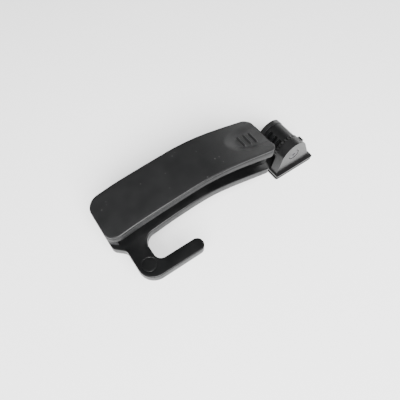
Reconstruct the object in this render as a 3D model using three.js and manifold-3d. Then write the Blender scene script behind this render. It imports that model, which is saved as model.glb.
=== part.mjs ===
// Clip-on headphone hook with a ratchet hinge and an adhesive foot.
// Millimetres, +Z up. The origin is the centre of the adhesive face of the foot,
// +X runs from the hook end towards the foot, and the hook opens on the -Y side.

import * as THREE from "three";
import { mergeVertices } from "three/addons/utils/BufferGeometryUtils.js";
import Module from "manifold-3d";

const wasm = await Module();
wasm.setup();

// ---------------------------------------------------------------- driving dimensions

const FOOT_SIDE = 30.6;
const FOOT_CORNER = 1.2;
const PAD_THICK = 2.3;
const FOOT_TOP = 3.5;

const HINGE_X = -3.1;
const HINGE_Z = 15.7;
const EAR_NEAR_Y = [-13.3, -7.8];
const EAR_FAR_Y = [7.3, 10.4];
const BARREL_Y = [-5.2, 7];
const BARREL_R = 8.4;
const POCKETS_Y = [-3.7, -0.3, 3.9];
const POCKET_WIDTH = 2.3;
const WASHER_SEAT = 0.35;           // depth of the washer's seat in the far ear
const RING_Y = [-7.5, -5.35];
const RING_R = 8.9;
const RING_ROOT = 7.5;
const RING_FLANGE = 0.55;
const RING_TEETH = 24;
const SCREW_R = 1.5;
const SCREW_HEAD_R = 3.35;
const NUT_R = 3.2;
const NUT_POCKET_R = 3.35;
const EAR_NEAR = { topRadius: 9.4, left: -14.4, right: 13.6 };
const EAR_FAR = { topRadius: 8.6, left: -12.5, right: 11 };
const EAR_ROOT = 0.6;               // how far the ears run down into the plate
const COUNTERBORE_R = 3.75;
const COUNTERBORE_DEPTH = 2.4;
const TAB_SIZE = [1.5, 3.4, 1.6];   // out from the hinge, along it, round it
const TAB_RADIUS = 9.4;
const TAB_Y = -9.6;
const TAB_TURN = 43 * Math.PI / 180;
const POCKET_TURN = 142 * Math.PI / 180;

const ARM_Y = 2.2;                 // middle plane of the arm
const ARM_TILT = 17 * Math.PI / 180; // slope of the arm's hinge end
const TONGUE_REACH = 25;           // hinge axis to swivel axis
const TONGUE_THICK = 3.6;
const TONGUE_WIDTH = 11;
const DISC_R = 10.4;
const WASHER_R = 12.3;
const TONGUE_WAY = 10;              // half the width of the cover's opening over the tongue
const WASHER_THICK = 0.45;
const PLATE_TO_TONGUE = 2.53;      // lower plate's seat to the tongue's middle plane

const COVER_X = [-124.4, -17.6];
const COVER_HALF = 13.7;
const COVER_CORNER = 7;
const COVER_NEAR_CORNER = 4.8;      // at the foot end, on the hook's side
const COVER_WALL = 1.8;
const PLATE_X = [-124.2, -21.9];
const PLATE_Y = [-14.5, 18.9];
const PLATE_THICK = 5;

const HOOK_Z = [21, 26.3];
const HOOK_LEFT = -119;
const SLOT_LEFT = -108.8;
const TINE_Y = [-36.3, -29.2];
const TINE_END = -85;
const SLOT_CORNER = 4;              // at the tine
const SLOT_TURN = 5.5;              // at the plate
const HOOK_DISC = [-113.4, -28.5];
const HOOK_DISC_R = 3.5;

const SWIVEL_R = 2;
const SWIVEL_HEAD_R = 3.2;
const SWIVEL_NUT_R = 3.6;

const THUMB_X = [-44, -8];
const THUMB_HALF = 9;
const THUMB_DEPTH = 1.1;
const RIBS_X = [-34.4, -29.9, -25.6];
const RIB_HALF = [0.5, 4.1];

const PIN_X = -62;
const PIN_Z = 34.5;
const PIN_R = 1.25;
const LUG_R = 2.2;
const LOWER_LUGS_Y = [-4.8, 6.8];
const LOWER_LUG_THICK = 2.4;
const COVER_LUGS_Y = [-7.4, 9.6];
const COVER_LUG_THICK = 2.2;
const RUNNING_GAP = 0.08;
const ROUND = 48;                  // sides of a full turn

// Heights along the arm, from the hook end to the foot end.
const coverTop = new THREE.SplineCurve([
  new THREE.Vector2(-124.4, 33.1),
  new THREE.Vector2(-106.7, 36.6),
  new THREE.Vector2(-83.6, 38.9),
  new THREE.Vector2(-66.5, 39.8),
  new THREE.Vector2(-47.8, 37.6),
  new THREE.Vector2(-17.6, 30.5),
]);
const skirtBottom = new THREE.SplineCurve([
  new THREE.Vector2(-124.4, 28.4),
  new THREE.Vector2(-106.7, 31.6),
  new THREE.Vector2(-83.6, 34.0),
  new THREE.Vector2(-66.5, 34.8),
  new THREE.Vector2(-47.8, 32.2),
  new THREE.Vector2(-17.6, 23.5),
]);
const plateTop = new THREE.SplineCurve([
  new THREE.Vector2(-124.2, 24.2),
  new THREE.Vector2(-105.4, 27.5),
  new THREE.Vector2(-87.2, 30.5),
  new THREE.Vector2(-69.2, 31.6),
  new THREE.Vector2(-55.9, 29.4),
  new THREE.Vector2(-41.1, 25),
  new THREE.Vector2(-21.9, 18.8),
]);

// ---------------------------------------------------------------- solids

function solid(geometry) {
  const bare = geometry.index ? geometry.toNonIndexed() : geometry.clone();
  for (const name of Object.keys(bare.attributes)) {
    if (name !== "position") bare.deleteAttribute(name);
  }
  const merged = mergeVertices(bare, 1e-4);
  const mesh = new wasm.Mesh({
    numProp: 3,
    vertProperties: new Float32Array(merged.attributes.position.array),
    triVerts: new Uint32Array(merged.index.array),
  });
  return new wasm.Manifold(mesh);
}

function geometryOf(body) {
  const mesh = body.getMesh();
  const geometry = new THREE.BufferGeometry();
  geometry.setAttribute("position", new THREE.BufferAttribute(new Float32Array(mesh.vertProperties), 3));
  geometry.setIndex(new THREE.BufferAttribute(new Uint32Array(mesh.triVerts), 1));
  const flat = geometry.toNonIndexed();
  flat.computeVertexNormals();
  return flat;
}

// A shape drawn in X and Y, raised from z0 to z1.
function raised(shape, z0, z1, curveSegments = 10) {
  const geometry = new THREE.ExtrudeGeometry(shape, { depth: z1 - z0, bevelEnabled: false, curveSegments });
  geometry.translate(0, 0, z0);
  return solid(geometry);
}

// A shape drawn in X and Z, running from y0 to y1.
function across(shape, y0, y1, curveSegments = 10) {
  const geometry = new THREE.ExtrudeGeometry(shape, { depth: y1 - y0, bevelEnabled: false, curveSegments });
  geometry.rotateX(Math.PI / 2);
  geometry.translate(0, y1, 0);
  return solid(geometry);
}

function rodY(radius, y0, y1, x, z, sides = ROUND) {
  const geometry = new THREE.CylinderGeometry(radius, radius, y1 - y0, sides);
  geometry.translate(x, (y0 + y1) / 2, z);
  return solid(geometry);
}

function box(x0, x1, y0, y1, z0, z1) {
  const geometry = new THREE.BoxGeometry(x1 - x0, y1 - y0, z1 - z0);
  geometry.translate((x0 + x1) / 2, (y0 + y1) / 2, (z0 + z1) / 2);
  return solid(geometry);
}

function roundedRect(x0, x1, y0, y1, radius, nearRight = radius) {
  const shape = new THREE.Shape();
  shape.moveTo(x0 + radius, y0);
  shape.lineTo(x1 - nearRight, y0);
  shape.absarc(x1 - nearRight, y0 + nearRight, nearRight, -Math.PI / 2, 0, false);
  shape.lineTo(x1, y1 - radius);
  shape.absarc(x1 - radius, y1 - radius, radius, 0, Math.PI / 2, false);
  shape.lineTo(x0 + radius, y1);
  shape.absarc(x0 + radius, y1 - radius, radius, Math.PI / 2, Math.PI, false);
  shape.lineTo(x0, y0 + radius);
  shape.absarc(x0 + radius, y0 + radius, radius, Math.PI, Math.PI * 1.5, false);
  return shape;
}

// The space between two height curves, drawn in X and Z.
function between(upper, lower, upperDrop, lowerDrop, steps = 26) {
  const top = upper.getPoints(steps).map((p) => new THREE.Vector2(p.x, p.y - upperDrop));
  const bottom = lower.getPoints(steps).map((p) => new THREE.Vector2(p.x, p.y - lowerDrop));
  return new THREE.Shape([...bottom, ...top.reverse()]);
}

// A round piece on the swivel axis; heights run along that axis from the tongue's middle plane.
const swivelCentre = new THREE.Vector3(
  HINGE_X - TONGUE_REACH * Math.cos(ARM_TILT), ARM_Y, HINGE_Z + TONGUE_REACH * Math.sin(ARM_TILT));

function onSwivel(geometry) {
  geometry.rotateY(ARM_TILT);
  geometry.translate(swivelCentre.x, swivelCentre.y, swivelCentre.z);
  return solid(geometry);
}

function swivelRod(radius, h0, h1, sides = ROUND) {
  const geometry = new THREE.CylinderGeometry(radius, radius, h1 - h0, sides);
  geometry.rotateX(Math.PI / 2);
  geometry.translate(0, 0, (h0 + h1) / 2);
  return onSwivel(geometry);
}

// ---------------------------------------------------------------- foot

// An ear's outline in X and Z: a round top whose flanks leave it as tangents.
function earOutline({ topRadius, left, right }) {
  const z0 = FOOT_TOP - EAR_ROOT;
  const tangent = (x) => {
    const reach = Math.hypot(x - HINGE_X, z0 - HINGE_Z);
    const bearing = Math.atan2(z0 - HINGE_Z, x - HINGE_X);
    return [bearing, Math.acos(topRadius / reach)];
  };
  const [leftBearing, leftOpen] = tangent(left);
  const [rightBearing, rightOpen] = tangent(right);
  const shape = new THREE.Shape();
  shape.moveTo(right, z0);
  shape.lineTo(left, z0);
  shape.absarc(HINGE_X, HINGE_Z, topRadius, leftBearing - leftOpen, rightBearing + rightOpen, true);
  return shape;
}

function indexTabBlock(gap) {
  const geometry = new THREE.BoxGeometry(...TAB_SIZE.map((side) => side + 2 * gap));
  geometry.translate(TAB_RADIUS, 0, 0);
  geometry.rotateY(-TAB_TURN);
  geometry.translate(HINGE_X, TAB_Y, HINGE_Z);
  return solid(geometry);
}

function footBracket() {
  const half = FOOT_SIDE / 2;
  const plate = raised(roundedRect(-half, half, -half, half, FOOT_CORNER), PAD_THICK, FOOT_TOP);
  const nearEar = across(earOutline(EAR_NEAR), ...EAR_NEAR_Y, 24);
  const farEar = across(earOutline(EAR_FAR), ...EAR_FAR_Y, 24);
  const counterbore = rodY(COUNTERBORE_R, EAR_NEAR_Y[0] - 1, EAR_NEAR_Y[0] + COUNTERBORE_DEPTH, HINGE_X, HINGE_Z);
  const screwHole = rodY(SCREW_R + 0.1, -20, 20, HINGE_X, HINGE_Z);
  const nutPocket = rodY(NUT_POCKET_R, EAR_FAR_Y[1] - 2.5, EAR_FAR_Y[1] + 1, HINGE_X, HINGE_Z, 6);
  const washerSeat = rodY(4.4, 0, EAR_FAR_Y[0] + WASHER_SEAT, HINGE_X, HINGE_Z);
  return plate.add(nearEar).add(farEar.subtract(washerSeat))
    .subtract(counterbore).subtract(screwHole).subtract(nutPocket).subtract(indexTabBlock(0.05));
}

function adhesivePad() {
  const half = FOOT_SIDE / 2 - 0.2;
  return raised(roundedRect(-half, half, -half, half, FOOT_CORNER), 0, PAD_THICK - 0.02);
}

function hingeScrew() {
  const face = EAR_NEAR_Y[0] + 0.15;
  const head = rodY(SCREW_HEAD_R, face, EAR_NEAR_Y[0] + COUNTERBORE_DEPTH - 0.05, HINGE_X, HINGE_Z);
  const shank = rodY(SCREW_R, EAR_NEAR_Y[0] + 2, EAR_FAR_Y[1] - 0.4, HINGE_X, HINGE_Z);
  const armLong = 1.35;
  const armHalf = 0.33;
  const slot = (halfX, halfZ) => box(
    HINGE_X - halfX, HINGE_X + halfX, face - 1, face + 1.2, HINGE_Z - halfZ, HINGE_Z + halfZ);
  const pit = rodY(0.75, face - 1, face + 1.7, HINGE_X, HINGE_Z, 16);
  return head.add(shank).subtract(slot(armLong, armHalf)).subtract(slot(armHalf, armLong)).subtract(pit);
}

function captiveNut() {
  const hex = rodY(NUT_R, EAR_FAR_Y[1] - 2.45, EAR_FAR_Y[1] - 0.1, HINGE_X, HINGE_Z, 6);
  return hex.subtract(rodY(SCREW_R + 0.05, 0, 20, HINGE_X, HINGE_Z));
}

// ---------------------------------------------------------------- knuckle

function ratchetRing() {
  const shape = new THREE.Shape();
  const step = 2 * Math.PI / RING_TEETH;
  for (let i = 0; i < RING_TEETH; i += 1) {
    const a = i * step;
    const radii = [RING_R, RING_R, RING_ROOT, RING_ROOT];
    const turns = [0, 0.55, 0.55, 1];
    for (let k = 0; k < 4; k += 1) {
      const x = HINGE_X + radii[k] * Math.cos(a + turns[k] * step);
      const z = HINGE_Z + radii[k] * Math.sin(a + turns[k] * step);
      if (i === 0 && k === 0) shape.moveTo(x, z);
      else shape.lineTo(x, z);
    }
  }
  const flange = rodY(RING_R, RING_Y[0], RING_Y[0] + RING_FLANGE, HINGE_X, HINGE_Z, 72);
  return across(shape, ...RING_Y).add(flange).subtract(rodY(3, -10, 0, HINGE_X, HINGE_Z));
}

function hingeBarrel() {
  const drum = rodY(BARREL_R, ...BARREL_Y, HINGE_X, HINGE_Z, 64);
  const tongue = new THREE.BoxGeometry(TONGUE_REACH, TONGUE_WIDTH, TONGUE_THICK);
  tongue.translate(TONGUE_REACH / 2, (BARREL_Y[0] + BARREL_Y[1]) / 2 - ARM_Y, 0);
  const disc = swivelRod(DISC_R, -TONGUE_THICK / 2, TONGUE_THICK / 2, 64);
  let body = drum.add(onSwivel(tongue)).add(disc);
  const pockets = POCKETS_Y.map((y) => {
    const cut = new THREE.BoxGeometry(4, POCKET_WIDTH, 6);
    cut.translate(BARREL_R, 0, 0);
    cut.rotateY(-POCKET_TURN);
    cut.translate(HINGE_X, y, HINGE_Z);
    return solid(cut);
  });
  for (const pocket of pockets) body = body.subtract(pocket);
  return body.subtract(rodY(SCREW_R + RUNNING_GAP, -20, 20, HINGE_X, HINGE_Z))
    .subtract(swivelRod(SWIVEL_R + RUNNING_GAP, -5, 5));
}

function tensionWasher() {
  return rodY(4.2, BARREL_Y[1] + 0.1, EAR_FAR_Y[0] + WASHER_SEAT - 0.05, HINGE_X, HINGE_Z)
    .subtract(rodY(SCREW_R + 0.12, 0, 10, HINGE_X, HINGE_Z));
}

// ---------------------------------------------------------------- arm

function platePlan() {
  const [x0, x1] = PLATE_X;
  const [y0, y1] = PLATE_Y;
  const shape = new THREE.Shape();
  shape.moveTo(HOOK_LEFT + 1, y0);
  shape.lineTo(x1 - 4.6, y0);
  shape.quadraticCurveTo(x1 - 1, y0 + 0.5, x1, y0 + 6);
  shape.lineTo(x1, y1 - 6);
  shape.quadraticCurveTo(x1 - 1, y1 - 0.5, x1 - 4.6, y1);
  shape.lineTo(x0 + 5, y1);
  shape.absarc(x0 + 5, y1 - 5, 5, Math.PI / 2, Math.PI, false);
  shape.lineTo(x0, y0 + 6);
  shape.quadraticCurveTo(x0, y0 + 4.5, x0 + 1, y0 + 3.5);
  return shape;
}

function hookPlan() {
  const outer = 8.5;
  const tip = (TINE_Y[1] - TINE_Y[0]) / 2;
  const tipX = TINE_END - tip;
  const edge = PLATE_Y[0];
  const shape = new THREE.Shape();
  shape.moveTo(HOOK_LEFT - 3.5, edge + 2.6);
  shape.quadraticCurveTo(HOOK_LEFT, edge - 0.6, HOOK_LEFT, edge - 5);
  shape.lineTo(HOOK_LEFT, TINE_Y[0] + outer);
  shape.absarc(HOOK_LEFT + outer, TINE_Y[0] + outer, outer, Math.PI, Math.PI * 1.5, false);
  shape.lineTo(tipX, TINE_Y[0]);
  shape.absarc(tipX, TINE_Y[0] + tip, tip, -Math.PI / 2, Math.PI / 2, false);
  shape.lineTo(SLOT_LEFT + SLOT_CORNER, TINE_Y[1]);
  shape.absarc(SLOT_LEFT + SLOT_CORNER, TINE_Y[1] + SLOT_CORNER, SLOT_CORNER, -Math.PI / 2, -Math.PI, true);
  shape.lineTo(SLOT_LEFT, edge - SLOT_TURN);
  shape.absarc(SLOT_LEFT + SLOT_TURN, edge - SLOT_TURN, SLOT_TURN, Math.PI, Math.PI / 2, true);
  shape.lineTo(SLOT_LEFT + SLOT_TURN, edge + 2);
  return shape;
}

function lowerLug(y0) {
  return rodY(LUG_R, y0, y0 + LOWER_LUG_THICK, PIN_X, PIN_Z, 32)
    .add(box(PIN_X - LUG_R, PIN_X + LUG_R, y0, y0 + LOWER_LUG_THICK, PIN_Z - 5, PIN_Z));
}

function discPlan(radius) {
  return new THREE.Shape().absarc(...HOOK_DISC, radius, 0, 2 * Math.PI);
}

function lowerJaw() {
  const slab = across(between(plateTop, plateTop, 0, PLATE_THICK), ...PLATE_Y);
  const plate = slab.intersect(raised(platePlan(), 0, 60));
  const hook = raised(hookPlan(), ...HOOK_Z, 14);
  const discSeat = raised(discPlan(HOOK_DISC_R + 0.1), HOOK_Z[1] - 0.8, 40, 20);
  return plate.add(hook)
    .add(lowerLug(LOWER_LUGS_Y[0])).add(lowerLug(LOWER_LUGS_Y[1]))
    .subtract(discSeat)
    .subtract(rodY(PIN_R + 0.04, -12, 16, PIN_X, PIN_Z, 32))
    .subtract(swivelRod(WASHER_R + 0.3, -PLATE_TO_TONGUE, 8, 64))
    .subtract(swivelRod(SWIVEL_R + 0.1, -12, 3, 32))
    .subtract(swivelRod(SWIVEL_NUT_R + 0.2, -12, -PLATE_TO_TONGUE - 2.6, 6));
}

function hookDisc() {
  return raised(discPlan(HOOK_DISC_R), HOOK_Z[1] - 0.75, HOOK_Z[1] + 0.05, 20);
}

function swivelScrew() {
  const top = TONGUE_THICK / 2 + 0.1;
  return swivelRod(SWIVEL_HEAD_R, top, top + 1.5)
    .add(swivelRod(SWIVEL_R, -PLATE_TO_TONGUE - 4.2, top + 0.5));
}

function swivelNut() {
  return swivelRod(SWIVEL_NUT_R, -PLATE_TO_TONGUE - 4.4, -PLATE_TO_TONGUE - 2.7, 6)
    .subtract(swivelRod(SWIVEL_R + 0.05, -12, 0));
}

function swivelWasher() {
  const middle = -(TONGUE_THICK / 2 + PLATE_TO_TONGUE) / 2;
  return swivelRod(WASHER_R, middle - WASHER_THICK / 2, middle + WASHER_THICK / 2, 64)
    .subtract(swivelRod(SWIVEL_R + 0.15, -5, 5))
    .intersect(box(PLATE_X[0], PLATE_X[1] + 0.5, -30, 30, 0, 60));
}

function fulcrumPin() {
  return rodY(PIN_R, ARM_Y - 10.2, ARM_Y + 10.2, PIN_X, PIN_Z, 32);
}

function torsionSpring() {
  const turns = 5;
  const pitch = 0.95;
  const coilR = 2.1;
  const wire = 0.35;
  const points = [];
  points.push(new THREE.Vector3(PIN_X + 13, ARM_Y - turns * pitch / 2, PIN_Z - 5.2));
  for (let i = 0; i <= turns * 14; i += 1) {
    const a = -Math.PI / 2 - i * 2 * Math.PI / 14;
    const y = ARM_Y - turns * pitch / 2 + pitch * i / 14;
    points.push(new THREE.Vector3(PIN_X + coilR * Math.cos(a), y, PIN_Z + coilR * Math.sin(a)));
  }
  points.push(new THREE.Vector3(PIN_X - 11, ARM_Y + turns * pitch / 2, PIN_Z - 1.5));
  const path = new THREE.CatmullRomCurve3(points, false, "centripetal");
  const section = new THREE.Shape().absarc(0, 0, wire, 0, 2 * Math.PI);
  const geometry = new THREE.ExtrudeGeometry(section, { steps: 110, extrudePath: path, curveSegments: 4 });
  return solid(geometry);
}

// ---------------------------------------------------------------- lever

function coverPlan(inset) {
  const radius = COVER_CORNER - inset;
  return roundedRect(COVER_X[0] + inset, COVER_X[1] - inset,
    ARM_Y - COVER_HALF + inset, ARM_Y + COVER_HALF - inset, radius, COVER_NEAR_CORNER - inset);
}

function coverLug(y0) {
  return box(PIN_X - LUG_R, PIN_X + LUG_R, y0, y0 + COVER_LUG_THICK, PIN_Z, 38.6)
    .add(rodY(LUG_R, y0, y0 + COVER_LUG_THICK, PIN_X, PIN_Z, 32));
}

function thumbRecess() {
  const plan = roundedRect(...THUMB_X, ARM_Y - THUMB_HALF, ARM_Y + THUMB_HALF, 8);
  const band = across(between(coverTop, coverTop, -6, THUMB_DEPTH), -20, 20);
  return band.intersect(raised(plan, 0, 60));
}

function thumbRib(x) {
  const rib = roundedRect(x - RIB_HALF[0], x + RIB_HALF[0], ARM_Y - RIB_HALF[1], ARM_Y + RIB_HALF[1], 0.45);
  return raised(rib, 0, 60, 4).intersect(across(between(coverTop, coverTop, 0.5, 1.6), -20, 20));
}

function coverLever() {
  const outer = across(between(coverTop, skirtBottom, 0, 0), -20, 20).intersect(raised(coverPlan(0), 0, 60));
  const hollow = across(between(coverTop, skirtBottom, COVER_WALL + 0.6, 8), -20, 20)
    .intersect(raised(coverPlan(COVER_WALL), 0, 60));
  const tongueWay = box(-24, -17, ARM_Y - TONGUE_WAY, ARM_Y + TONGUE_WAY, 0, 27.6);
  let body = outer.subtract(hollow).subtract(tongueWay).subtract(thumbRecess());
  for (const y0 of COVER_LUGS_Y) body = body.add(coverLug(y0));
  for (const x of RIBS_X) body = body.add(thumbRib(x));
  return body.subtract(rodY(PIN_R + RUNNING_GAP, -12, 16, PIN_X, PIN_Z, 32));
}

function upperGripPad() {
  const band = box(-124.1, -120.4, ARM_Y - COVER_HALF + 0.1, ARM_Y + COVER_HALF - 0.1, 25.2, 28.35);
  return band.intersect(raised(coverPlan(0.1), 0, 60));
}

// ---------------------------------------------------------------- the assembly

const PLASTIC = { color: 0x222324, roughness: 0.55, metalness: 0 };
const GLOSSY = { color: 0x1c1d1e, roughness: 0.35, metalness: 0 };
const RUBBER = { color: 0x17181a, roughness: 0.8, metalness: 0 };
const STEEL = { color: 0x6d7074, roughness: 0.35, metalness: 1 };
const DARK_STEEL = { color: 0x4a4c50, roughness: 0.4, metalness: 1 };

const pieces = [
  ["adhesive_pad", adhesivePad, RUBBER],
  ["foot_bracket", footBracket, GLOSSY],
  ["hinge_screw", hingeScrew, DARK_STEEL],
  ["captive_nut", captiveNut, STEEL],
  ["index_tab", () => indexTabBlock(0), PLASTIC],
  ["hinge_barrel", hingeBarrel, PLASTIC],
  ["ratchet_ring", ratchetRing, GLOSSY],
  ["tension_washer", tensionWasher, STEEL],
  ["lower_jaw", lowerJaw, PLASTIC],
  ["hook_disc", hookDisc, PLASTIC],
  ["swivel_screw", swivelScrew, DARK_STEEL],
  ["swivel_nut", swivelNut, STEEL],
  ["swivel_washer", swivelWasher, PLASTIC],
  ["fulcrum_pin", fulcrumPin, STEEL],
  ["torsion_spring", torsionSpring, STEEL],
  ["cover_lever", coverLever, PLASTIC],
  ["jaw_grip_pad", upperGripPad, RUBBER],
];

const assembly = new THREE.Group();
for (const [name, make, look] of pieces) {
  const mesh = new THREE.Mesh(geometryOf(make()), new THREE.MeshStandardMaterial(look));
  mesh.name = name;
  assembly.add(mesh);
}

export default assembly;
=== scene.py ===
"""Looks of the clip-on headphone hook: detailed shells, procedural materials, light and camera."""
import math

import bmesh
import bpy
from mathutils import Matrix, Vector
from mathutils.geometry import delaunay_2d_cdt


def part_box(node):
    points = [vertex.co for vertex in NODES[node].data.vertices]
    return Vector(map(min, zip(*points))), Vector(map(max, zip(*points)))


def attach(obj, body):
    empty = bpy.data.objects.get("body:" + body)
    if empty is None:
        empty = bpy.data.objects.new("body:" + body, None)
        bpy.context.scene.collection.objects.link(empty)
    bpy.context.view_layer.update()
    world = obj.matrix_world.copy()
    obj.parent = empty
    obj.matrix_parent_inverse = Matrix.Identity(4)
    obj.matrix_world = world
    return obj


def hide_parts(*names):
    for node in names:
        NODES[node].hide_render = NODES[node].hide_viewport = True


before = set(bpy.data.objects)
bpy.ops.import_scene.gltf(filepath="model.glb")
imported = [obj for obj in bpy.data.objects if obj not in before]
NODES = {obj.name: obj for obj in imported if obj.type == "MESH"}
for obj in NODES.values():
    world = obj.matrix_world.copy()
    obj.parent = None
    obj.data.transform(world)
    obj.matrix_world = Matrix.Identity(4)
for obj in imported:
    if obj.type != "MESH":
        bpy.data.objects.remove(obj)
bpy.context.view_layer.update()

MM = 0.001


# ---------------------------------------------------------------- sizes, in millimetres

def span(node):
    """A CAD node's lowest and highest corners, in millimetres."""
    low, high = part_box(node)
    return low / MM, high / MM


COVER_LOW, COVER_HIGH = span("cover_lever")
JAW_LOW, JAW_HIGH = span("lower_jaw")
PAD_LOW, PAD_HIGH = span("adhesive_pad")
DISC_LOW, DISC_HIGH = span("hook_disc")
PIN_LOW, PIN_HIGH = span("fulcrum_pin")

ARM_Y = (COVER_LOW.y + COVER_HIGH.y) / 2
PIN_X = (PIN_LOW.x + PIN_HIGH.x) / 2
PIN_Z = (PIN_LOW.z + PIN_HIGH.z) / 2

COVER_CORNER = 7.0
COVER_NEAR_CORNER = 4.8   # at the foot end, on the hook's side
COVER_WALL = 1.8
TONGUE_HALF = 10.0        # half the width of the cover's opening over the tongue
TONGUE_START = -24.5
TONGUE_ROOF = 27.7

THUMB_END = -29.0         # the thumb pad is half an ellipse up to here, then runs straight out
THUMB_LONG = 17.0
THUMB_HALF = 9.4
THUMB_FLARE = 1.6
THUMB_DEEP = 1.3
THUMB_RIBS = (-34.4, -29.9, -25.6)
RIB_HALF = 4.15
RIB_HIGH = 0.85
RIB_GROOVE = 0.45         # depth of the groove on a rib's hook side
GROOVE_START = -1.1       # a rib's profile, measured along the arm from the rib's middle
RIB_FOOT = -0.2
RIB_CREST = 0.1
RIB_END = 1.0

JAW_LEFT = -124.2
JAW_NEAR = -14.5
JAW_THICK = 5.0
HOOK_TOP = 26.3
HOOK_THICK = 5.3
HOOK_LEFT = -119.0
SLOT_LEFT = -108.8
TINE_END = -85.0
TINE_INNER = -29.2
LEVEL_START = -14.0       # the arched plate turns into the flat hook from here
LEVEL_WIDTH = 5.5
HOOK_DISC = (DISC_LOW + DISC_HIGH) / 2
HOOK_DISC_R = (DISC_HIGH.x - DISC_LOW.x) / 2
DISC_GROOVE_GAP = 0.12
DISC_GROOVE_HALF = 0.22
DISC_GROOVE_DEEP = 0.3

LUG_R = 2.2
LUG_BORE = 1.34
LUG_SIDES = 32
COVER_LUG_WIDTH = 2.2
COVER_LUG_ROOT = 38.2
JAW_LUG_WIDTH = 2.4
JAW_LUG_ROOT = 29.6
PAD_CORNER = 1.2

COVER_TOP = [(-124.4, 33.1), (-106.7, 36.6), (-83.6, 38.9), (-66.5, 39.8), (-47.8, 37.6), (-17.6, 30.5)]
SKIRT = [(-124.4, 28.4), (-106.7, 31.6), (-83.6, 34.0), (-66.5, 34.8), (-47.8, 32.2), (-17.6, 23.5)]
JAW_TOP = [(-124.2, 24.2), (-105.4, 27.5), (-87.2, 30.5), (-69.2, 31.6), (-55.9, 29.4), (-41.1, 25.0),
           (-21.9, 18.8)]


# ---------------------------------------------------------------- geometry helpers

CURVE_STEPS = 24
TABLE_START = -126
TABLE_STEP = 0.25
TABLE_COUNT = 440


def catmull(points):
    """A smooth height curve through points, as a function of x."""
    samples = []
    ends = [points[0]] + list(points) + [points[-1]]
    for i in range(1, len(ends) - 2):
        p0, p1, p2, p3 = ends[i - 1:i + 3]
        for k in range(CURVE_STEPS):
            t = k / CURVE_STEPS
            samples.append(tuple(
                0.5 * (2 * b + (c - a) * t + (2 * a - 5 * b + 4 * c - d) * t * t
                       + (3 * b - a - 3 * c + d) * t ** 3)
                for a, b, c, d in zip(p0, p1, p2, p3)))
    samples.append(points[-1])

    def height(x):
        if x <= samples[0][0]:
            return samples[0][1]
        for (xa, za), (xb, zb) in zip(samples, samples[1:]):
            if x <= xb:
                return za + (zb - za) * (x - xa) / (xb - xa)
        return samples[-1][1]

    table = [height(TABLE_START + TABLE_STEP * i) for i in range(TABLE_COUNT)]

    def quick(x):
        place = min(max((x - TABLE_START) / TABLE_STEP, 0), TABLE_COUNT - 1.001)
        i = int(place)
        return table[i] + (table[i + 1] - table[i]) * (place - i)

    return quick


def smooth(t):
    """An S-shaped step from 0 to 1."""
    t = min(max(t, 0.0), 1.0)
    return t * t * (3 - 2 * t)


def rounded(corners, step=1.2, arc=10):
    """A closed outline through (x, y, radius) corners, anticlockwise, with arcs at the corners."""
    out = []
    count = len(corners)
    for i, (x, y, r) in enumerate(corners):
        here = Vector((x, y))
        back = (Vector(corners[i - 1][:2]) - here).normalized()
        on = (Vector(corners[(i + 1) % count][:2]) - here).normalized()
        half = math.acos(max(-1, min(1, back.dot(on)))) / 2
        reach = r / math.tan(half)
        centre = here + (back + on).normalized() * (r / math.sin(half))
        start = here + back * reach - centre
        sweep = start.angle_signed(here + on * reach - centre)
        points = []
        for k in range(arc + 1):
            a = -sweep * k / arc
            points.append(centre + Vector((start.x * math.cos(a) - start.y * math.sin(a),
                                           start.x * math.sin(a) + start.y * math.cos(a))))
        if out:
            gap = (points[0] - out[-1]).length
            for k in range(1, int(gap / step)):
                out.append(out[-1].lerp(points[0], 1 / (int(gap / step) - k + 1)))
        out += points
    gap = (out[0] - out[-1]).length
    tail = out[-1]
    for k in range(1, int(gap / step)):
        out.append(tail.lerp(out[0], k / int(gap / step)))
    clean = []
    for p in out:
        if not clean or (p - clean[-1]).length > 1e-4:
            clean.append(p)
    return clean


def circle(x, y, r, count):
    """A closed round outline, anticlockwise."""
    return [Vector((x + r * math.cos(2 * math.pi * i / count), y + r * math.sin(2 * math.pi * i / count)))
            for i in range(count)]


def inset(outline, distance):
    """The outline moved inwards by distance."""
    out = []
    count = len(outline)
    for i, p in enumerate(outline):
        along = (outline[(i + 1) % count] - outline[i - 1]).normalized()
        out.append(p + Vector((-along.y, along.x)) * distance)
    return out


def inside(point, outline):
    """Whether a point lies inside a closed outline."""
    hit = False
    for a, b in zip(outline, outline[1:] + outline[:1]):
        if (a.y > point[1]) != (b.y > point[1]):
            if point[0] < (b.x - a.x) * (point[1] - a.y) / (b.y - a.y) + a.x:
                hit = not hit
    return hit


def grid_points(outline, spacing, fine=None, fine_spacing=0.3):
    """Points inside an outline: a coarse grid, and a fine one in the box fine."""
    border = inset(outline, spacing * 0.45)
    low = (min(p.x for p in outline), min(p.y for p in outline))
    high = (max(p.x for p in outline), max(p.y for p in outline))
    points = []
    for i in range(1, int((high[0] - low[0]) / spacing) + 1):
        for j in range(1, int((high[1] - low[1]) / spacing) + 1):
            p = (low[0] + i * spacing, low[1] + j * spacing)
            if fine and fine[0] < p[0] < fine[1] and fine[2] < p[1] < fine[3]:
                continue
            if inside(p, border):
                points.append(Vector(p))
    if fine:
        for i in range(int((fine[1] - fine[0]) / fine_spacing) + 1):
            for j in range(int((fine[3] - fine[2]) / fine_spacing) + 1):
                p = (fine[0] + i * fine_spacing, fine[2] + j * fine_spacing)
                if inside(p, border):
                    points.append(Vector(p))
    return points


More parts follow.
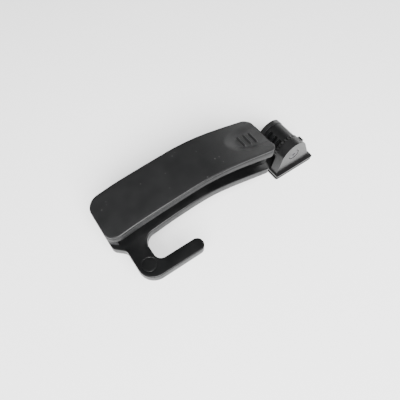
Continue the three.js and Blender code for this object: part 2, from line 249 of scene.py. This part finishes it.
def stack(name, outline, rings, spacing, fine=None):
    """A closed body: rings of (inset, height function), capped at the first ring and at the last."""
    mesh = bmesh.new()
    loops = []
    outlines = []
    for distance, height in rings:
        ring = inset(outline, distance)
        outlines.append(ring)
        loops.append([mesh.verts.new((p.x * MM, p.y * MM, height(p.x, p.y) * MM)) for p in ring])
    count = len(outline)
    for lower, upper in zip(loops, loops[1:]):
        for i in range(count):
            j = (i + 1) % count
            mesh.faces.new((lower[i], lower[j], upper[j], upper[i]))
    for end, flip in ((0, True), (-1, False)):
        ring = outlines[end]
        height = rings[end][1]
        extra = grid_points(ring, spacing, fine)
        points = [Vector(p) for p in ring] + extra
        edges = [(i, (i + 1) % count) for i in range(count)]
        flat, _, faces, origins, _, _ = delaunay_2d_cdt(points, edges, [], 1, 1e-6)
        verts = []
        for p, origin in zip(flat, origins):
            if origin and origin[0] < count:
                verts.append(loops[end][origin[0]])
            else:
                verts.append(mesh.verts.new((p.x * MM, p.y * MM, height(p.x, p.y) * MM)))
        for face in faces:
            corners = [verts[i] for i in face]
            mesh.faces.new(corners[::-1] if flip else corners)
    bmesh.ops.recalc_face_normals(mesh, faces=mesh.faces)
    data = bpy.data.meshes.new(name)
    mesh.to_mesh(data)
    mesh.free()
    data.polygons.foreach_set("use_smooth", [True] * len(data.polygons))
    piece = bpy.data.objects.new(name, data)
    bpy.context.scene.collection.objects.link(piece)
    return piece


def fillet(height, radius, rising, steps=5):
    """Rings that round an edge: rising towards the top face, or starting from the bottom face."""
    rings = []
    for k in range(steps + 1):
        a = math.pi / 2 * k / steps
        distance = radius * (1 - math.cos(a))
        drop = radius * (1 - math.sin(a))
        rings.append((distance, lambda x, y, d=drop: height(x, y) + (-d if rising else d)))
    return rings if rising else rings[::-1]


def finish(piece, body, nodes, material):
    """Gives a piece its material, its body and the CAD nodes that it replaces."""
    piece.data.materials.append(material)
    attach(piece, body)
    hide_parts(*nodes)
    return piece


def softened(node, body, material, width, angle=32):
    """A moulded copy of a CAD node with rounded edges."""
    mesh = bmesh.new()
    mesh.from_mesh(NODES[node].data)
    bmesh.ops.remove_doubles(mesh, verts=mesh.verts, dist=2e-6)
    bmesh.ops.dissolve_limit(mesh, angle_limit=math.radians(0.6), verts=mesh.verts, edges=mesh.edges)
    data = bpy.data.meshes.new(node + "_moulded")
    mesh.to_mesh(data)
    mesh.free()
    data.polygons.foreach_set("use_smooth", [True] * len(data.polygons))
    piece = bpy.data.objects.new(node + "_moulded", data)
    bpy.context.scene.collection.objects.link(piece)
    bevel = piece.modifiers.new("edges", "BEVEL")
    bevel.width = width * MM
    bevel.segments = 3
    bevel.limit_method = "ANGLE"
    bevel.angle_limit = math.radians(angle)
    shading = piece.modifiers.new("shading", "WEIGHTED_NORMAL")
    shading.weight = 100
    return finish(piece, body, [node], material)


# ---------------------------------------------------------------- materials

def new_material(name, color, roughness, metallic=0.0, specular=0.5):
    """A material with one Principled shader, returned with its node tree and the shader."""
    material = bpy.data.materials.new(name)
    material.use_nodes = True
    shader = material.node_tree.nodes["Principled BSDF"]
    shader.inputs["Base Color"].default_value = (*color, 1)
    shader.inputs["Roughness"].default_value = roughness
    shader.inputs["Metallic"].default_value = metallic
    shader.inputs["Specular IOR Level"].default_value = specular
    return material, material.node_tree, shader


def noise(tree, scale, detail=4.0, distortion=0.0):
    """Noise in the piece's own coordinates."""
    place = tree.nodes.new("ShaderNodeTexCoord")
    node = tree.nodes.new("ShaderNodeTexNoise")
    node.inputs["Scale"].default_value = scale
    node.inputs["Detail"].default_value = detail
    node.inputs["Distortion"].default_value = distortion
    tree.links.new(place.outputs["Object"], node.inputs["Vector"])
    return node


def ramp(tree, source, stops):
    """A colour ramp over (place, grey or colour) stops."""
    node = tree.nodes.new("ShaderNodeValToRGB")
    elements = node.color_ramp.elements
    while len(elements) < len(stops):
        elements.new(0.5)
    for element, (place, value) in zip(elements, stops):
        element.position = place
        element.color = value if isinstance(value, tuple) else (value, value, value, 1)
    tree.links.new(source, node.inputs["Fac"])
    return node


def bump(tree, shader, height, strength, distance, before=None):
    """A bump on the shader's normal, on top of the bump before."""
    node = tree.nodes.new("ShaderNodeBump")
    node.inputs["Strength"].default_value = strength
    node.inputs["Distance"].default_value = distance
    tree.links.new(height, node.inputs["Height"])
    if before:
        tree.links.new(before, node.inputs["Normal"])
    tree.links.new(node.outputs["Normal"], shader.inputs["Normal"])
    return node.outputs["Normal"]


def mixed(tree, factor, low, high):
    """A blend of two colours, each a tuple or a socket."""
    node = tree.nodes.new("ShaderNodeMix")
    node.data_type = "RGBA"
    for socket, value in ((node.inputs[6], low), (node.inputs[7], high)):
        if isinstance(value, tuple):
            socket.default_value = (*value, 1)
        else:
            tree.links.new(value, socket)
    tree.links.new(factor, node.inputs[0])
    return node.outputs[2]


def plastic(name, color, roughness, grain, grain_scale, gloss, specks=0.0, edge=0.01):
    """Black moulded plastic: fine spark grain, cloudy sheen, a painted highlight that makes convex edges
    paler, and a little dust.
    """
    material, tree, shader = new_material(name, color, roughness, 0.0, gloss)
    clouds = noise(tree, 90, 5)
    tone = ramp(tree, clouds.outputs["Fac"], [(0.3, (*[c * 0.86 for c in color], 1)),
                                              (0.7, (*[c * 1.16 for c in color], 1))])
    geometry = tree.nodes.new("ShaderNodeNewGeometry")
    # Painted highlight: convex edges, found by pointiness, get a paler base colour (edge sets how much
    # paler).
    edge_highlight_mask = ramp(tree, geometry.outputs["Pointiness"], [(0.52, 0.0), (0.62, 1.0)])
    edge_highlight_color = tuple(c + edge for c in color)
    paint = mixed(tree, edge_highlight_mask.outputs["Color"], tone.outputs["Color"], edge_highlight_color)
    if specks:
        place = tree.nodes.new("ShaderNodeTexCoord")
        cells = tree.nodes.new("ShaderNodeTexVoronoi")
        cells.inputs["Scale"].default_value = 260
        tree.links.new(place.outputs["Object"], cells.inputs["Vector"])
        dot = ramp(tree, cells.outputs["Distance"], [(0.05, 1.0), (0.13, 0.0)])
        patch = ramp(tree, noise(tree, 60, 2).outputs["Fac"], [(0.54, 0.0), (0.66, 1.0)])
        both = tree.nodes.new("ShaderNodeMath")
        both.operation = "MULTIPLY"
        tree.links.new(dot.outputs["Color"], both.inputs[0])
        tree.links.new(patch.outputs["Color"], both.inputs[1])
        paint = mixed(tree, both.outputs[0], paint, (specks, specks, specks))
    tree.links.new(paint, shader.inputs["Base Color"])
    sheen = ramp(tree, noise(tree, 140, 6).outputs["Fac"], [(0.3, roughness - 0.05), (0.7, roughness + 0.06)])
    tree.links.new(sheen.outputs["Color"], shader.inputs["Roughness"])
    first = bump(tree, shader, noise(tree, grain_scale, 3).outputs["Fac"], grain, 0.00012)
    bump(tree, shader, noise(tree, 45, 2).outputs["Fac"], 0.12, 0.0005, first)
    return material


def steel(name, color, roughness):
    """Turned steel: rings of fine scratches and uneven sheen."""
    material, tree, shader = new_material(name, color, roughness, 1.0)
    tone = ramp(tree, noise(tree, 600, 6).outputs["Fac"], [(0.3, (*[c * 0.8 for c in color], 1)),
                                                         (0.7, (*[min(1, c * 1.15) for c in color], 1))])
    tree.links.new(tone.outputs["Color"], shader.inputs["Base Color"])
    sheen = ramp(tree, noise(tree, 300, 5).outputs["Fac"], [(0.3, roughness - 0.08), (0.7, roughness + 0.1)])
    tree.links.new(sheen.outputs["Color"], shader.inputs["Roughness"])
    bump(tree, shader, noise(tree, 2500, 3, 1.5).outputs["Fac"], 0.15, 0.00005)
    return material


def foam(name, color, roughness, cells):
    """Closed-cell foam or soft rubber."""
    material, tree, shader = new_material(name, color, roughness, 0.0, 0.12)
    tone = ramp(tree, noise(tree, 700, 4).outputs["Fac"], [(0.3, (*[c * 0.7 for c in color], 1)),
                                                         (0.7, (*[c * 1.4 for c in color], 1))])
    tree.links.new(tone.outputs["Color"], shader.inputs["Base Color"])
    bump(tree, shader, noise(tree, cells, 3).outputs["Fac"], 0.5, 0.0002)
    return material


# The edge argument sets how much paler each plastic's painted edge highlight is.
COVER = plastic("cover_plastic", (0.0055, 0.0056, 0.0058), 0.46, 0.35, 3800, 0.32, specks=0.05)
BODY = plastic("body_plastic", (0.0022, 0.0023, 0.0024), 0.38, 0.18, 3000, 0.26, edge=0.004)
EAR = plastic("ear_plastic", (0.006, 0.006, 0.0062), 0.32, 0.15, 2600, 0.42, edge=0.006)
DARK_STEEL = steel("dark_steel", (0.1, 0.1, 0.104), 0.45)
STEEL = steel("steel", (0.5, 0.5, 0.51), 0.3)
FOAM = foam("pad_foam", (0.01, 0.01, 0.01), 0.9, 1800)
GRIP = foam("grip_rubber", (0.014, 0.014, 0.015), 0.6, 2600)


# ---------------------------------------------------------------- cover

cover_height = catmull(COVER_TOP)
skirt_height = catmull(SKIRT)
jaw_height = catmull(JAW_TOP)


def recess_depth(x, y):
    """The scooped thumb pad, which runs out at the foot end with a slight flare."""
    across = abs(y - ARM_Y)
    if x < THUMB_END:
        edge = 1 - math.hypot((x - THUMB_END) / THUMB_LONG, across / THUMB_HALF)
    else:
        flare = THUMB_FLARE * smooth((x - THUMB_END) / 12)
        edge = 1 - across / (THUMB_HALF + flare)
    return THUMB_DEEP * smooth(edge / 0.5)


def rib_height(x, y):
    """The three ribs across the thumb pad: a groove, a steep front and a long slope behind it."""
    ends = smooth((RIB_HALF - abs(y - ARM_Y)) / 0.5)
    rise = 0.0
    for middle in THUMB_RIBS:
        d = x - middle
        if GROOVE_START < d <= RIB_FOOT:
            rise -= RIB_GROOVE * math.sin((d - GROOVE_START) / (RIB_FOOT - GROOVE_START) * math.pi)
        elif RIB_FOOT < d <= RIB_CREST:
            rise += RIB_HIGH * smooth((d - RIB_FOOT) / (RIB_CREST - RIB_FOOT))
        elif RIB_CREST < d < RIB_END:
            rise += RIB_HIGH * (1 - smooth((d - RIB_CREST) / (RIB_END - RIB_CREST)))
    return rise * ends


def cover_surface(x, y):
    """The cover's outer face with the thumb pad and its ribs."""
    return cover_height(x) - recess_depth(x, y) + rib_height(x, y)


def skirt_surface(x, y):
    """The skirt's lower edge, raised where the tongue passes under the foot end."""
    opening = smooth((TONGUE_HALF + 0.8 - abs(y - ARM_Y)) / 0.8) * smooth(x - TONGUE_START)
    return skirt_height(x) + opening * max(0.0, TONGUE_ROOF - skirt_height(x))


def cover_lever():
    """The hollow cover with its skirt, the groove along its side and the rounded top edge."""
    left, right = COVER_LOW.x, COVER_HIGH.x
    near, far = COVER_LOW.y, COVER_HIGH.y
    r = COVER_CORNER
    corners = [(left, near, r), (right, near, COVER_NEAR_CORNER), (right, far, r), (left, far, r)]
    outline = rounded(corners, arc=16)

    def ceiling(x, y):
        return min(cover_height(x) - COVER_WALL - 0.6, cover_surface(x, y) - 1.0)

    wall = COVER_WALL
    groove = [(0.0, 1.75), (0.16, 1.65), (0.22, 1.45), (0.16, 1.25), (0.0, 1.15)]  # depth, drop from the top
    rings = [
        (wall + 0.5, ceiling),
        (wall + 0.15, lambda x, y: ceiling(x, y) - 0.15),
        (wall, lambda x, y: ceiling(x, y) - 0.6),
        (wall, lambda x, y: skirt_surface(x, y) + 0.35),
        (wall - 0.1, lambda x, y: skirt_surface(x, y) + 0.1),
        (wall - 0.35, skirt_surface),
    ]
    rings += fillet(skirt_surface, 0.4, False, 4)
    for distance, drop in groove:
        rings.append((distance, lambda x, y, d=drop: cover_height(x) - d))
    rings += fillet(cover_surface, 0.7, True, 6)
    piece = stack("cover_lever_shell", outline, rings, 1.8, fine=(-47, -18.9, ARM_Y - 12.4, ARM_Y + 12.4))
    return finish(piece, "lever", ["cover_lever"], COVER)


def clip_lugs():
    """The cover's two inner lugs, which hang on the pin."""
    for name, low in (("cover_lug_near", ARM_Y - 9.6), ("cover_lug_far", ARM_Y + 7.4)):
        lug(name, low, low + COVER_LUG_WIDTH, 1, "lever", COVER)


def lug(name, y0, y1, up, body, material):
    """A flat lug on the pin, with a round end and a pin hole; up = 1 when it hangs from above."""
    x, z = PIN_X, PIN_Z
    root = COVER_LUG_ROOT if up > 0 else JAW_LUG_ROOT
    ring = []
    for k in range(LUG_SIDES + 1):
        a = math.pi * k / LUG_SIDES
        ring.append((x + LUG_R * math.cos(a), z - up * LUG_R * math.sin(a)))
    ring += [(x - LUG_R, root), (x + LUG_R, root)]
    hole = []
    for k in range(LUG_SIDES):
        a = 2 * math.pi * k / LUG_SIDES
        hole.append((x + LUG_BORE * math.cos(a), z + LUG_BORE * math.sin(a)))
    points = [Vector(p) for p in ring + hole]
    n = len(ring)
    edges = [(i, (i + 1) % n) for i in range(n)]
    edges += [(n + i, n + (i + 1) % LUG_SIDES) for i in range(LUG_SIDES)]
    faces = []
    flat, _, triangles, _, _, _ = delaunay_2d_cdt(points, edges, [], 1, 1e-6)
    centre = Vector((x, z))
    for triangle in triangles:
        middle = sum((flat[i] for i in triangle), Vector((0, 0))) / 3
        if (middle - centre).length > LUG_BORE * 0.97:
            faces.append(triangle)
    mesh = bmesh.new()
    sides = [[mesh.verts.new((p.x * MM, y * MM, p.y * MM)) for p in flat] for y in (y0, y1)]
    for triangle in faces:
        mesh.faces.new([sides[0][i] for i in triangle])
        mesh.faces.new([sides[1][i] for i in reversed(triangle)])
    for a, b in edges:
        mesh.faces.new((sides[0][a], sides[0][b], sides[1][b], sides[1][a]))
    bmesh.ops.recalc_face_normals(mesh, faces=mesh.faces)
    data = bpy.data.meshes.new(name)
    mesh.to_mesh(data)
    mesh.free()
    piece = bpy.data.objects.new(name, data)
    bpy.context.scene.collection.objects.link(piece)
    bevel = piece.modifiers.new("edges", "BEVEL")
    bevel.width = 0.12 * MM
    bevel.segments = 2
    bevel.angle_limit = math.radians(35)
    piece.data.materials.append(material)
    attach(piece, body)
    return piece


# ---------------------------------------------------------------- lower plate and hook

def jaw_surface(x, y):
    """The plate's arch, levelling out into the flat hook, with the ring around the corner disc."""
    level = smooth((LEVEL_START - y) / LEVEL_WIDTH)
    top = jaw_height(x) * (1 - level) + HOOK_TOP * level
    off = math.hypot(x - HOOK_DISC.x, y - HOOK_DISC.y) - HOOK_DISC_R - DISC_GROOVE_GAP
    return top - DISC_GROOVE_DEEP * max(0.0, 1 - abs(off) / DISC_GROOVE_HALF)


def jaw_underside(x, y):
    """The plate's lower face, which follows its top."""
    level = smooth((LEVEL_START - y) / LEVEL_WIDTH)
    return (jaw_height(x) - JAW_THICK) * (1 - level) + (HOOK_TOP - HOOK_THICK) * level


def lower_jaw():
    """The lower plate and the hook in one piece, and the two lugs that carry the pin."""
    left, right = JAW_LEFT, JAW_HIGH.x
    near, far = JAW_NEAR, JAW_HIGH.y
    tip = JAW_LOW.y
    outline = rounded([
        (left, far, 5), (left, near + 4.5, 4),
        (HOOK_LEFT, near - 1.0, 4), (HOOK_LEFT, tip, 8.5),
        (TINE_END, tip, 3.5), (TINE_END, TINE_INNER, 3.5),
        (SLOT_LEFT, TINE_INNER, 4), (SLOT_LEFT, near, 5.5),
        (right - 2.4, near, 3), (right, near + 6.5, 6),
        (right, far - 6.5, 6), (right - 2.4, far, 3),
    ], arc=12)
    rings = fillet(jaw_underside, 0.5, False, 4) + fillet(jaw_surface, 0.55, True, 5)
    fine = (HOOK_DISC.x - 4.6, HOOK_DISC.x + 4.6, HOOK_DISC.y - 4.6, HOOK_DISC.y + 4.6)
    piece = stack("lower_jaw_plate", outline, rings, 1.8, fine=fine)
    finish(piece, "arm", ["lower_jaw"], BODY)
    for name, low in (("jaw_lug_near", ARM_Y - 7), ("jaw_lug_far", ARM_Y + 4.6)):
        lug(name, low, low + JAW_LUG_WIDTH, -1, "arm", BODY)


def hook_disc():
    """The round mark at the hook's corner, just proud of the plate."""
    outline = circle(HOOK_DISC.x, HOOK_DISC.y, HOOK_DISC_R, 56)

    def top(x, y):
        return HOOK_TOP + 0.04

    def bottom(x, y):
        return HOOK_TOP - 0.7

    rings = [(0.1, bottom), (0, bottom)] + fillet(top, 0.1, True, 3)
    piece = stack("hook_disc_mark", outline, rings, 1.2)
    finish(piece, "arm", ["hook_disc"], BODY)


# ---------------------------------------------------------------- foot, spring and pads

def foot_pad():
    """The foam pad under the foot, its sides drawn in slightly halfway up."""
    low, high = PAD_LOW, PAD_HIGH
    corners = [(low.x, low.y), (high.x, low.y), (high.x, high.y), (low.x, high.y)]
    outline = rounded([(x, y, PAD_CORNER) for x, y in corners])

    def bottom(x, y):
        return low.z

    def waist(x, y):
        return (low.z + high.z) / 2

    def top(x, y):
        return high.z

    rings = fillet(bottom, 0.12, False, 2) + [(0.08, waist)] + fillet(top, 0.12, True, 2)
    piece = stack("adhesive_pad_foam", outline, rings, 3)
    finish(piece, "foot", ["adhesive_pad"], FOAM)


def torsion_spring():
    """A coil round the pin, with one leg on the lower plate and one under the cover."""
    turns, per_turn, pitch, coil, wire = 5, 28, 0.95, 2.1, 0.35
    start = ARM_Y - turns * pitch / 2
    end = ARM_Y + turns * pitch / 2
    points = [(PIN_X + 13, start, PIN_Z - 5.2)]
    for i in range(turns * per_turn + 1):
        a = -math.pi / 2 - i * 2 * math.pi / per_turn
        y = start + pitch * i / per_turn
        points.append((PIN_X + coil * math.cos(a), y, PIN_Z + coil * math.sin(a)))
    points.append((PIN_X - 11, end, PIN_Z - 1.5))
    curve = bpy.data.curves.new("torsion_spring_wire", "CURVE")
    curve.dimensions = "3D"
    curve.bevel_depth = wire * MM
    curve.bevel_resolution = 3
    curve.use_fill_caps = True
    line = curve.splines.new("POLY")
    line.points.add(len(points) - 1)
    for point, place in zip(line.points, points):
        point.co = (*[c * MM for c in place], 1)
    piece = bpy.data.objects.new("torsion_spring_wire", curve)
    bpy.context.scene.collection.objects.link(piece)
    finish(piece, "arm", ["torsion_spring"], STEEL)


cover_lever()
clip_lugs()
lower_jaw()
hook_disc()
foot_pad()
torsion_spring()
softened("foot_bracket", "foot", EAR, 0.35)
softened("index_tab", "foot", BODY, 0.25)
softened("hinge_screw", "foot", DARK_STEEL, 0.14)
softened("captive_nut", "foot", STEEL, 0.2)
softened("hinge_barrel", "knuckle", BODY, 0.25)
softened("ratchet_ring", "knuckle", EAR, 0.12)
softened("tension_washer", "knuckle", STEEL, 0.06)
softened("swivel_screw", "arm", DARK_STEEL, 0.2)
softened("swivel_nut", "arm", STEEL, 0.2)
softened("swivel_washer", "arm", BODY, 0.08)
softened("fulcrum_pin", "arm", STEEL, 0.2)
softened("jaw_grip_pad", "lever", GRIP, 0.3)


# ---------------------------------------------------------------- floor, light and camera

def floor():
    """A plain pale floor, in metres, a hair below the pad."""
    data = bpy.data.meshes.new("floor")
    size = 6.0
    low = -0.0003
    corners = [(-size, -size, low), (size, -size, low), (size, size, low), (-size, size, low)]
    data.from_pydata(corners, [], [(0, 1, 2, 3)])
    piece = bpy.data.objects.new("floor", data)
    bpy.context.scene.collection.objects.link(piece)
    piece.data.materials.append(new_material("floor_paint", (0.86, 0.86, 0.86), 0.9, 0.0, 0.1)[0])


def soft_light(name, place, aim, size, power):
    """A rectangular area light at place, in metres, turned to aim."""
    data = bpy.data.lights.new(name, "AREA")
    data.shape = "RECTANGLE"
    data.size, data.size_y = size
    data.energy = power
    lamp = bpy.data.objects.new(name, data)
    lamp.location = place
    lamp.rotation_euler = (Vector(aim) - Vector(place)).to_track_quat("-Z", "Y").to_euler()
    bpy.context.scene.collection.objects.link(lamp)


def camera():
    """The camera that looks down on the hook side, over the foot's near corner."""
    aim = Vector((-74.2, -14.4, 30.0)) * MM
    azimuth = math.radians(34.7)
    elevation = math.radians(58.94)
    distance = 180.9 * MM
    look = Vector((math.sin(azimuth) * math.cos(elevation), math.cos(azimuth) * math.cos(elevation),
                   -math.sin(elevation)))
    data = bpy.data.cameras.new("camera")
    data.lens = 31.32
    data.sensor_width = 36
    data.clip_start = 0.01
    eye = bpy.data.objects.new("camera", data)
    eye.location = aim - look * distance
    eye.rotation_euler = look.to_track_quat("-Z", "Y").to_euler()
    bpy.context.scene.collection.objects.link(eye)
    bpy.context.scene.camera = eye


floor()
soft_light("key", (-0.35, -0.75, 0.9), (-0.06, 0, 0.02), (0.9, 0.9), 85)
soft_light("rim", (0.75, 0.3, 0.3), (-0.03, 0, 0.02), (0.5, 0.3), 2.2)
camera()
world = bpy.data.worlds.new("studio")
world.use_nodes = True
world.node_tree.nodes["Background"].inputs["Color"].default_value = (1, 1, 1, 1)
world.node_tree.nodes["Background"].inputs["Strength"].default_value = 0.1
bpy.context.scene.world = world
